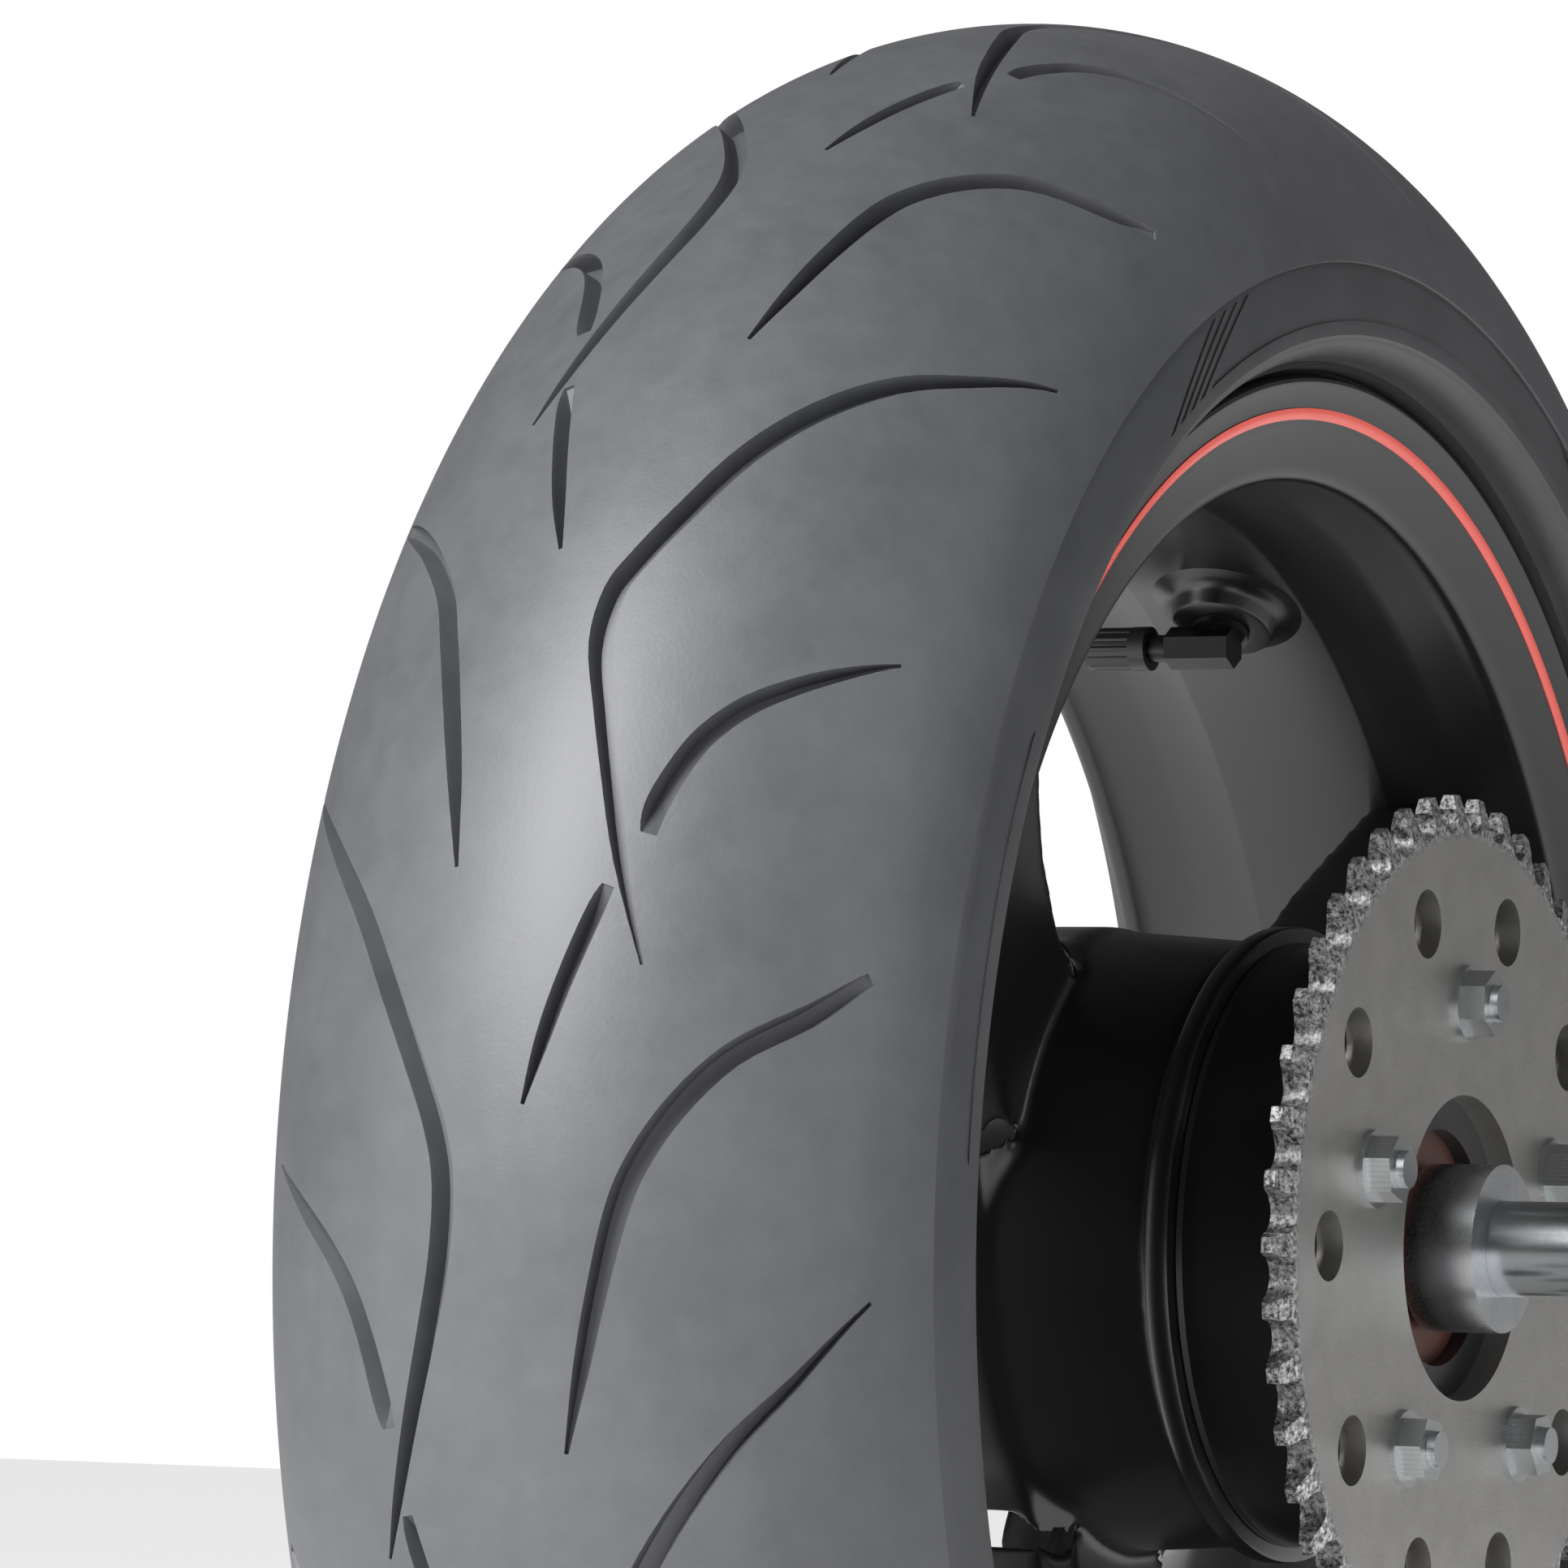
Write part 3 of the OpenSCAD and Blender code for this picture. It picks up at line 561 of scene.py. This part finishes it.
def near_face(radius):
    for (r0, y0), (r1, y1) in zip(web_near, web_near[1:]):
        if radius <= r1:
            return y0 + (y1 - y0) * max(0.0, radius - r0) / (r1 - r0)
    return web_near[-1][1]


def beside(radius, off):
    return Vector((radius * math.cos(pitch) + off * math.sin(pitch), radius * math.sin(pitch) - off * math.cos(pitch)))


# The opening between two spokes follows the drum, then a fillet, then the spoke's flared side
fillet = 0.040
fillet_off = 0.033 + fillet
fillet_mid = beside(math.sqrt((0.084 + fillet) ** 2 - fillet_off ** 2), fillet_off)
fillet_turn = math.atan2(fillet_mid.y, fillet_mid.x)
window_side = [Vector((0.084 * math.cos(fillet_turn * i / 9), 0.084 * math.sin(fillet_turn * i / 9))) for i in range(1, 9)]
for i in range(13):
    swing = math.pi + fillet_turn + (pitch - math.pi / 2 - fillet_turn) * i / 12
    window_side.append(fillet_mid + Vector((math.cos(swing), math.sin(swing))) * fillet)
window_side += [beside(0.124, 0.034), beside(0.139, 0.0385), beside(0.154, 0.045), beside(0.180, 0.053),
                beside(0.205, 0.060), beside(0.34, 0.060)]
window_line = [Vector((p.x, -p.y)) for p in reversed(window_side)] + [Vector((0.084, 0))] + window_side


def outset(line, amount):
    out = []
    for i, p in enumerate(line):
        way = (line[(i + 1) % len(line)] - line[i - 1]).normalized()
        out.append(p + Vector((way.y, -way.x)) * amount)
    return out


def layered(name, layers):
    # A closed skin through outlines of the same count, given as lists of (x, y, z)
    count = len(layers[0])
    bpy.ops.object.select_all(action="DESELECT")
    bpy.ops.mesh.primitive_cylinder_add(vertices=count, radius=1, depth=1, end_fill_type="NGON")
    block = bpy.context.object
    block.name = name
    bpy.ops.object.mode_set(mode="EDIT")
    bpy.ops.mesh.select_all(action="DESELECT")
    bpy.ops.object.mode_set(mode="OBJECT")
    lower = [v for v in block.data.vertices if v.co.z < 0]
    upper = [v for v in block.data.vertices if v.co.z > 0]
    lower.sort(key=lambda v: math.atan2(v.co.y, v.co.x) % (2 * math.pi))
    upper.sort(key=lambda v: math.atan2(v.co.y, v.co.x) % (2 * math.pi))
    order_low, order_up = [v.index for v in lower], [v.index for v in upper]
    cap = [p for p in block.data.polygons if len(p.vertices) == count and block.data.vertices[p.vertices[0]].co.z > 0]
    for index, place in zip(order_low, layers[0]):
        block.data.vertices[index].co = place
    for index, place in zip(order_up, layers[1]):
        block.data.vertices[index].co = place
    current, chosen = order_up, cap[0].index
    for layer in layers[2:]:
        for face in block.data.polygons:
            face.select = face.index == chosen
        bpy.ops.object.mode_set(mode="EDIT")
        bpy.ops.mesh.select_mode(type="FACE")
        bpy.ops.mesh.extrude_region_move(TRANSFORM_OT_translate={"value": (0, 0, 0)})
        bpy.ops.object.mode_set(mode="OBJECT")
        face = [p for p in block.data.polygons if p.select][0]
        chosen = face.index
        start = block.data.vertices[current[0]].co.copy()
        loop = list(face.vertices)
        first = min(range(len(loop)), key=lambda i: (block.data.vertices[loop[i]].co - start).length)
        second = block.data.vertices[current[1]].co
        forward = (block.data.vertices[loop[(first + 1) % count]].co - second).length < (
            block.data.vertices[loop[first - 1]].co - second).length
        current = [loop[(first + (i if forward else -i)) % count] for i in range(count)]
        for index, place in zip(current, layer):
            block.data.vertices[index].co = place
    bpy.ops.object.mode_set(mode="EDIT")
    bpy.ops.mesh.select_all(action="SELECT")
    bpy.ops.mesh.normals_make_consistent(inside=False)
    bpy.ops.object.mode_set(mode="OBJECT")
    return block


def joined(parts):
    bpy.ops.object.select_all(action="DESELECT")
    for part in parts:
        part.select_set(True)
    bpy.context.view_layer.objects.active = parts[0]
    bpy.ops.object.join()
    return bpy.context.object


def cut_away(body, tool, operation="DIFFERENCE"):
    bpy.ops.object.select_all(action="DESELECT")
    bpy.context.view_layer.objects.active = body
    body.select_set(True)
    step = body.modifiers.new("cut", "BOOLEAN")
    step.operation = operation
    step.solver = "MANIFOLD"
    step.object = tool
    bpy.ops.object.modifier_apply(modifier="cut")
    bpy.data.objects.remove(tool)


bevel_line = outset(window_line, -0.0085)
windows = []
for k in range(spoke_count):
    turn = math.radians(spoke_first) + pitch * (2 * k + 1)

    def at(line, height):
        out = []
        for p in line:
            radius = p.length
            out.append(Vector((p.x * math.cos(turn) - p.y * math.sin(turn), height(radius),
                               p.x * math.sin(turn) + p.y * math.cos(turn))))
        return out
    windows.append(layered("window", [
        at(window_line, lambda r: 0.04), at(window_line, lambda r: near_face(r) + 0.0075),
        at(bevel_line, lambda r: near_face(r) - 0.001), at(bevel_line, lambda r: near_face(r) - 0.03)]))
window_tool = joined(windows)

channels = []
channel_side = [(0.108, 0.018), (0.150, 0.024), (0.188, 0.036)]
channel_line = [Vector((r, -w)) for r, w in channel_side] + [Vector((r, w)) for r, w in reversed(channel_side)]
for k in range(spoke_count):
    turn = math.radians(spoke_first) + 2 * pitch * k
    ring = []
    for y, shrink in ((-0.018, 0.003), (0.04, -0.006)):
        ring.append([Vector((p.x * math.cos(turn) - (p.y - math.copysign(shrink, p.y)) * math.sin(turn), y,
                             p.x * math.sin(turn) + (p.y - math.copysign(shrink, p.y)) * math.cos(turn)))
                     for p in channel_line])
    channels.append(layered("channel", ring))
channel_tool = joined(channels)



def notch_tool():
    # Radial slots through the drum's back wall, either side of each spoke's root
    slots = []
    for k in range(spoke_count):
        for side in (-1, 1):
            turn = math.radians(spoke_first + 18 * side) + 2 * pitch * k
            rings = []
            for radius in (0.060, 0.092):
                rings.append([Vector((radius * math.cos(turn) - side * t * math.sin(turn), y,
                                      radius * math.sin(turn) + side * t * math.cos(turn)))
                              for t, y in ((-0.0135, 0.014), (-0.0135, -0.009), (-0.001, -0.0208), (0.0022, -0.0213),
                                           (0.0052, -0.0198), (0.0132, -0.009), (0.0132, 0.014))])
            slots.append(layered("slot", rings))
    return joined(slots)


spider = spun("spokes_visual", [
    (0.078, -0.0218), (0.091, -0.0227), (0.120, -0.0290), (0.160, -0.0370), (0.2025, -0.0447), (0.2025, -0.0180),
    (0.150, -0.0060), (0.110, 0.0030), (0.078, 0.0080)], steps=240)
cut_away(spider, window_tool)
cut_away(spider, channel_tool)
cut_away(spider, notch_tool())
drum = spun("drum", [
    (0.0740, -0.0240), (0.0740, -0.0612), (0.0794, -0.0612), (0.0800, -0.0560), (0.0833, -0.0090), (0.0800, 0.0060),
    (0.0740, 0.0080), (0.0680, -0.0080), (0.0480, -0.0140), (0.0340, -0.0060), (0.0340, -0.0240)], steps=180)
cut_away(drum, notch_tool())
spider = joined([spider, drum])
spider.name = "spokes_visual"
cast = spider.modifiers.new("cast", "REMESH")
cast.mode = "VOXEL"
cast.voxel_size = 0.0014
bpy.ops.object.modifier_apply(modifier="cast")
soften = spider.modifiers.new("soften", "SMOOTH")
soften.factor = 0.5
soften.iterations = 14
bpy.ops.object.modifier_apply(modifier="soften")
thin = spider.modifiers.new("thin", "DECIMATE")
thin.ratio = min(1.0, 90000 / len(spider.data.polygons))
bpy.ops.object.modifier_apply(modifier="thin")
bpy.ops.object.select_all(action="DESELECT")
spider.select_set(True)
bpy.context.view_layer.objects.active = spider
bpy.ops.object.shade_smooth()
spider.data.materials.clear()
spider.data.materials.append(enamel)
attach(spider, "wheel")
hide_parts("cast_wheel")

# ---------------------------------------------------------------- hub core
# The turned parts of the same casting: the raised ring at the drum's mouth, the bearing tube,
# and the flange with tapped holes that the brake disc bolts to.
core = spun("hub_core_visual", [
    (0.0261, -0.0420), (0.0335, -0.0420), (0.0340, -0.0415), (0.0345, -0.0180), (0.0365, -0.0050), (0.0330, 0.0200),
    (0.0322, 0.0400), (0.0330, 0.0440), (0.0585, 0.0535), (0.0600, 0.0550), (0.0600, 0.0612), (0.0592, 0.0620),
    (0.0270, 0.0620), (0.0261, 0.0612), (0.0261, 0.0440), (0.0180, 0.0440), (0.0180, -0.0250), (0.0261, -0.0250)],
    steps=144, smooth=30)
mouth = spun("mouth_ring", [
    (0.0740, -0.0600), (0.0740, -0.0673), (0.0746, -0.0680), (0.0826, -0.0680), (0.0836, -0.0676), (0.0840, -0.0666),
    (0.0840, -0.0626), (0.0835, -0.0615), (0.0822, -0.0609), (0.0796, -0.0606), (0.0785, -0.0600)], steps=216, smooth=35)
bolt_count = 5
taps = []
for k in range(bolt_count):
    turn = 2 * math.pi / bolt_count * k
    bpy.ops.object.select_all(action="DESELECT")
    bpy.ops.mesh.primitive_cylinder_add(vertices=24, radius=0.0034, depth=0.022, rotation=(math.pi / 2, 0, 0),
                                        location=(0.05 * math.cos(turn), 0.062, 0.05 * math.sin(turn)))
    taps.append(bpy.context.object)
cut_away(core, joined(taps))
vanes = []
for k in range(bolt_count):
    bpy.ops.object.select_all(action="DESELECT")
    bpy.ops.mesh.primitive_cube_add(size=1, location=(0.054, -0.0400, 0), scale=(0.041, 0.031, 0.006))
    bpy.ops.object.transform_apply(location=True, rotation=True, scale=True)
    vane = bpy.context.object
    bpy.ops.object.mode_set(mode="EDIT")
    bpy.ops.mesh.bevel(offset=0.0012, segments=2)
    bpy.ops.object.mode_set(mode="OBJECT")
    vane.data.transform(Matrix.Rotation(-2 * math.pi / bolt_count * k, 4, "Y"))
    vanes.append(vane)
core = joined([core, mouth] + vanes)
bpy.ops.object.shade_smooth_by_angle(angle=math.radians(35))
core.name = "hub_core_visual"
core.data.materials.clear()
core.data.materials.append(enamel)
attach(core, "wheel")
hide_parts("cast_wheel")

# ---------------------------------------------------------------- valve boss
# A round pad cast on the inside of the rim, where the wall is thickened for the valve.
boss_line = [(0.0, 0.1925), (0.0128, 0.1925), (0.0138, 0.1928), (0.0143, 0.1936), (0.0148, 0.1960), (0.0160, 0.1980),
             (0.0185, 0.1995), (0.0225, 0.2008), (0.0225, 0.2040), (0.0, 0.2040)]
bpy.ops.object.select_all(action="DESELECT")
bpy.ops.mesh.primitive_circle_add(vertices=len(boss_line), radius=0.01, fill_type="NOTHING")
boss = bpy.context.object
boss.name = "valve_boss_visual"
for corner, (wide, far) in zip(boss.data.vertices, boss_line):
    corner.co = (wide, 0, far)
bpy.ops.object.mode_set(mode="EDIT")
bpy.ops.mesh.select_all(action="SELECT")
bpy.ops.mesh.spin(steps=64, angle=2 * math.pi, center=(0, 0, 0), axis=(0, 0, 1))
bpy.ops.mesh.select_all(action="SELECT")
bpy.ops.mesh.remove_doubles(threshold=0.00001)
bpy.ops.mesh.normals_make_consistent(inside=False)
bpy.ops.object.mode_set(mode="OBJECT")
for corner in boss.data.vertices:
    # the foot follows the barrel's curve
    x, y, far = corner.co
    if far > 0.1955:
        far -= (x * x) / (2 * 0.2) * min(1.0, (far - 0.1955) / 0.004)
    corner.co = (x, y, far)
boss.data.transform(Matrix.Translation((0, -0.002, 0)) @ Matrix.Rotation(math.pi / 2 - valve_angle, 4, "Y"))
bpy.ops.object.shade_smooth_by_angle(angle=math.radians(40))
boss.data.materials.clear()
boss.data.materials.append(enamel)
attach(boss, "wheel")
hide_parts("cast_wheel")

# ---------------------------------------------------------------- rim stripes
# A red vinyl film laid round each flange, under clear gloss.


def stripe_film():
    # Calendered vinyl: even red with a faint cloud, high gloss
    material, tree, shader = begin("red_vinyl_film")
    place = node(tree, "ShaderNodeTexCoord")
    cloud = node(tree, "ShaderNodeTexNoise", {"Scale": 60.0, "Detail": 3.0}, {"Vector": place.outputs["Object"]})
    colour = node(tree, "ShaderNodeMix", {"data_type": "RGBA"}, {"Factor": cloud.outputs["Fac"]})
    colour.inputs["A"].default_value = linear("#D8564C")
    colour.inputs["B"].default_value = linear("#E06258")
    tree.links.new(colour.outputs["Result"], shader.inputs["Base Color"])
    shader.inputs["Roughness"].default_value = 0.2
    return material


film = stripe_film()
for side_sign, name in ((-1, "left"), (1, "right")):
    stripe = spun("rim_stripe_%s_visual" % name, [
        (0.2178, side_sign * 0.07371), (0.2208, side_sign * 0.07471), (0.2208, side_sign * 0.0750),
        (0.2206, side_sign * 0.07504), (0.2180, side_sign * 0.07418), (0.2178, side_sign * 0.07405)], steps=288, smooth=30)
    stripe.data.materials.clear()
    stripe.data.materials.append(film)
    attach(stripe, "wheel")
    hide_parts("rim_stripe_" + name)

# ---------------------------------------------------------------- valve
# A clamped metal valve: a black-plated brass elbow with a hexagon at the bend, a nut on the
# inside of the rim, and a knurled nylon cap on the stem that points across the wheel.


def black_plating():
    # Black nickel on brass: near black, metallic, with small scuffs
    material, tree, shader = begin("black_plated_brass")
    place = node(tree, "ShaderNodeTexCoord")
    scuffs = node(tree, "ShaderNodeTexNoise", {"Scale": 420.0, "Detail": 5.0}, {"Vector": place.outputs["Object"]})
    colour = node(tree, "ShaderNodeMix", {"data_type": "RGBA"}, {"Factor": scuffs.outputs["Fac"]})
    colour.inputs["A"].default_value = linear("#131314")
    colour.inputs["B"].default_value = linear("#242426")
    tree.links.new(colour.outputs["Result"], shader.inputs["Base Color"])
    shader.inputs["Roughness"].default_value = 0.35
    shader.inputs["Metallic"].default_value = 0.6
    return material


def nylon():
    # Moulded black nylon: matt, with a fine spark-eroded texture of about 0.5 mm
    material, tree, shader = begin("black_nylon")
    place = node(tree, "ShaderNodeTexCoord")
    grain = node(tree, "ShaderNodeTexNoise", {"Scale": 2000.0, "Detail": 2.0}, {"Vector": place.outputs["Object"]})
    colour = node(tree, "ShaderNodeMix", {"data_type": "RGBA"}, {"Factor": grain.outputs["Fac"]})
    colour.inputs["A"].default_value = linear("#101011")
    colour.inputs["B"].default_value = linear("#1A1A1B")
    tree.links.new(colour.outputs["Result"], shader.inputs["Base Color"])
    relief = node(tree, "ShaderNodeBump", {"Strength": 0.2, "Distance": 0.0002}, {"Height": grain.outputs["Fac"]})
    tree.links.new(relief.outputs["Normal"], shader.inputs["Normal"])
    shader.inputs["Roughness"].default_value = 0.45
    return material


finish(black_plating(), "valve_body", "valve_nut")
finish(nylon(), "valve_cap")
finish(worked_metal("drawn_brass", "#A8873F", "#C9A85C", 0.3, 900.0), "valve_pin")

# ---------------------------------------------------------------- bearings, carrier and sprocket
# Sealed ball bearings in the hub and the carrier, the black cast carrier whose paddles push
# the cushion rubbers, and the chain sprocket, whose tooth flanks are worn bright.
finish(worked_metal("ground_bearing_steel", "#A9ACB0", "#C6C9CD", 0.18, 420.0),
       "outer_race_left", "outer_race_right", "inner_race_left", "inner_race_right",
       "carrier_outer_race", "carrier_inner_race", "ball_set_left", "ball_set_right", "carrier_ball_set")
finish(worked_metal("pressed_cage_steel", "#83868A", "#9B9EA2", 0.35, 300.0),
       "ball_cage_left", "ball_cage_right", "carrier_ball_cage")
finish(enamel, "sprocket_carrier")


def sprocket_steel():
    # Hardened steel plate: grey oxide on the faces, rubbed to scratched bright metal by the chain
    material, tree, shader = begin("chain_worn_steel")
    place = node(tree, "ShaderNodeTexCoord")
    apart = node(tree, "ShaderNodeSeparateXYZ", {}, {"Vector": place.outputs["Object"]})
    flat = node(tree, "ShaderNodeCombineXYZ", {}, {"X": apart.outputs["X"], "Z": apart.outputs["Z"]})
    reach = node(tree, "ShaderNodeVectorMath", {"operation": "LENGTH"}, {"Vector": flat.outputs["Vector"]})
    worn = node(tree, "ShaderNodeMapRange", {"From Min": 0.1065, "From Max": 0.1095}, {"Value": reach.outputs["Value"]})
    scratch = node(tree, "ShaderNodeTexNoise", {"Scale": 700.0, "Detail": 8.0, "Roughness": 0.8},
                   {"Vector": place.outputs["Object"]})
    marks = node(tree, "ShaderNodeValToRGB", {}, {"Fac": scratch.outputs["Fac"]})
    marks.color_ramp.elements[0].position = 0.42
    marks.color_ramp.elements[0].color = linear("#2B2B2D")
    marks.color_ramp.elements[1].position = 0.62
    marks.color_ramp.elements[1].color = linear("#D9DADB")
    cloud = node(tree, "ShaderNodeTexNoise", {"Scale": 90.0, "Detail": 4.0}, {"Vector": place.outputs["Object"]})
    plain = node(tree, "ShaderNodeMix", {"data_type": "RGBA"}, {"Factor": cloud.outputs["Fac"]})
    plain.inputs["A"].default_value = linear("#8B8A88")
    plain.inputs["B"].default_value = linear("#A3A19E")
    colour = node(tree, "ShaderNodeMix", {"data_type": "RGBA"}, {"Factor": worn.outputs["Result"]})
    tree.links.new(plain.outputs["Result"], colour.inputs["A"])
    tree.links.new(marks.outputs["Color"], colour.inputs["B"])
    tree.links.new(colour.outputs["Result"], shader.inputs["Base Color"])
    gloss = node(tree, "ShaderNodeMapRange", {"To Min": 0.25, "To Max": 0.5}, {"Value": scratch.outputs["Fac"]})
    tree.links.new(gloss.outputs["Result"], shader.inputs["Roughness"])
    relief = node(tree, "ShaderNodeBump", {"Strength": 0.35, "Distance": 0.0003}, {"Height": scratch.outputs["Fac"]})
    tree.links.new(relief.outputs["Normal"], shader.inputs["Normal"])
    shader.inputs["Metallic"].default_value = 0.9
    return material


finish(sprocket_steel(), "sprocket")
finish(worked_metal("zinc_plated_steel", "#9EA1A3", "#B9BCBD", 0.3, 500.0), "sprocket_studs", "sprocket_nuts")

# ---------------------------------------------------------------- axle and collars
# A hollow ground steel axle with a hexagon head, turned aluminium collars and spacers that
# carry the inner races, and a plated washer and nut on the disc side.
finish(worked_metal("turned_aluminium", "#B3B5B8", "#CBCDD0", 0.28, 640.0),
       "collar_left", "collar_right", "carrier_collar", "spacer_tube")
finish(worked_metal("ground_axle_steel", "#8E9194", "#A9ACAF", 0.22, 500.0), "axle")
finish(worked_metal("plated_nut_steel", "#A6A8AA", "#BFC1C2", 0.3, 360.0), "axle_nut", "axle_washer")

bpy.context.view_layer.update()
